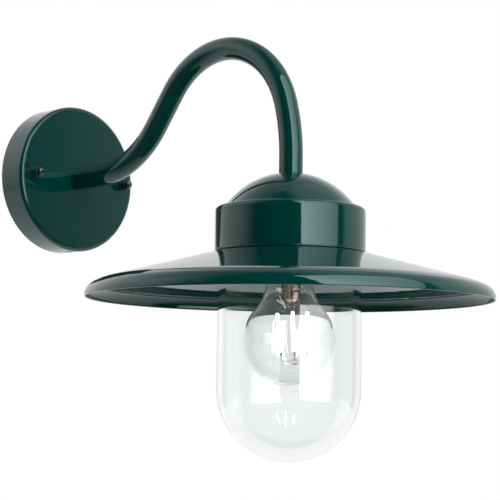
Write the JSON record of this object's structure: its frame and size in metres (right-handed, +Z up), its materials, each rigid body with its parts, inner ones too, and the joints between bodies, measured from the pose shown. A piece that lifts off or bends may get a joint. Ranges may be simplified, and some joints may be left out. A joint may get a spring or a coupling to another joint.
{
  "type": "gooseneck wall sconce",
  "caption": "Outdoor gooseneck wall light: round rose, curved tube arm, domed head, shallow spun shade and a clear screw-in glass jar over a filament lamp.",
  "frame": {"origin": "centre of the bracket back face on the wall", "axes": "+X right along the wall, +Y into the wall, +Z up; the lamp projects towards -Y"},
  "size_m": [0.27, 0.3749, 0.2921],
  "materials": {
    "green_enamel": "high-gloss dark green powder coat",
    "zinc_steel": "bright zinc plated steel",
    "tinned_brass": "turned and pressed brass",
    "nickel_brass": "nickel plated brass sheet",
    "porcelain": "glazed white porcelain",
    "black_vitrite": "black glass insulator",
    "nylon": "natural nylon",
    "black_nylon": "dark moulded nylon",
    "black_rubber": "black EPDM foam rubber",
    "silicone": "translucent silicone rubber",
    "jar_glass": "clear pressed glass with a faint green edge tint",
    "lamp_clear_glass": "thin clear blown glass",
    "led_phosphor": "phosphor coated LED filament",
    "lead_wire_metal": "nickel wire",
    "brown_insulation": "brown silicone wire insulation",
    "blue_insulation": "blue silicone wire insulation",
    "green_yellow_insulation": "green and yellow wire insulation"
  },
  "bodies": {
    "sconce": {"wall_bracket": "zinc_steel", "rose_studs": "zinc_steel", "cable_bushing": "black_rubber", "rose_cup": "green_enamel", "rose_seal": "black_rubber", "gooseneck_tube": "green_enamel", "wall_end_fitting": "zinc_steel", "wall_lock_washer": "zinc_steel", "wall_lock_nut": "zinc_steel", "head_end_fitting": "zinc_steel", "head_lock_washer": "zinc_steel", "head_lock_nut": "zinc_steel", "lamp_head": "green_enamel", "shade": "green_enamel", "shade_seal": "black_rubber", "shade_screws": "zinc_steel", "holder_stirrup": "zinc_steel", "holder_body": "porcelain", "holder_screws": "zinc_steel", "holder_nuts": "zinc_steel", "holder_screw_shell": "nickel_brass", "holder_centre_contact": "tinned_brass", "holder_terminals": "tinned_brass", "holder_terminal_screws": "zinc_steel", "terminal_block": "nylon", "terminal_block_clamps": "tinned_brass", "terminal_block_screws": "zinc_steel", "terminal_block_fixing_screw": "zinc_steel", "wall_earth_tag": "tinned_brass", "wall_earth_screw": "zinc_steel", "head_earth_tag": "tinned_brass", "head_earth_screw": "zinc_steel", "live_wire": "brown_insulation", "neutral_wire": "blue_insulation", "earth_wire": "green_yellow_insulation"},
    "jar_seal_ring": {"jar_seal": "silicone"},
    "jar": {"glass_jar": "jar_glass"},
    "lamp_contact": {"lamp_contact_tip": "tinned_brass", "lamp_insulator": "black_vitrite"},
    "lamp": {"lamp_screw_cap": "nickel_brass", "lamp_glass": "lamp_clear_glass", "lamp_stem": "lamp_clear_glass", "lamp_filaments": "led_phosphor", "lamp_lead_wires": "lead_wire_metal"},
    "washer_left": {"nut_washer_left": "black_nylon"},
    "washer_right": {"nut_washer_right": "black_nylon"},
    "nut_left": {"cap_nut_left": "green_enamel"},
    "nut_right": {"cap_nut_right": "green_enamel"}
  },
  "joints": [
    {"name": "jar_drop", "type": "slide", "parent": "sconce", "child": "jar_seal_ring", "axis": [0, 0, -1], "range_m": [0, 0.00627]},
    {"name": "jar_unscrew", "type": "hinge", "parent": "jar_seal_ring", "child": "jar", "pos_m": [0, -0.23987, -0.11614], "axis": [0, 0, -1], "range_deg": [0, 450]},
    {"name": "lamp_drop", "type": "slide", "parent": "sconce", "child": "lamp_contact", "axis": [0, 0, -1], "range_m": [0, 0.01454]},
    {"name": "lamp_unscrew", "type": "hinge", "parent": "lamp_contact", "child": "lamp", "pos_m": [0, -0.23987, -0.07614], "axis": [0, 0, -1], "range_deg": [0, 1440]},
    {"name": "nut_left_back_off", "type": "slide", "parent": "sconce", "child": "washer_left", "axis": [0, -1, 0], "range_m": [0, 0.007]},
    {"name": "nut_left_unscrew", "type": "hinge", "parent": "washer_left", "child": "nut_left", "pos_m": [-0.0435, -0.028, 0], "axis": [0, -1, 0], "range_deg": [0, 3600.5]},
    {"name": "nut_right_back_off", "type": "slide", "parent": "sconce", "child": "washer_right", "axis": [0, -1, 0], "range_m": [0, 0.007]},
    {"name": "nut_right_unscrew", "type": "hinge", "parent": "washer_right", "child": "nut_right", "pos_m": [0.0435, -0.028, 0], "axis": [0, -1, 0], "range_deg": [0, 3600.5]}
  ],
  "couplings": [
    {"joint": "jar_drop", "follows": "jar_unscrew", "m_per_rad": 0.00079577},
    {"joint": "lamp_drop", "follows": "lamp_unscrew", "m_per_rad": 0.00057757},
    {"joint": "nut_left_unscrew", "follows": "nut_left_back_off", "rad_per_m": 8976},
    {"joint": "nut_right_unscrew", "follows": "nut_right_back_off", "rad_per_m": 8976}
  ]
}
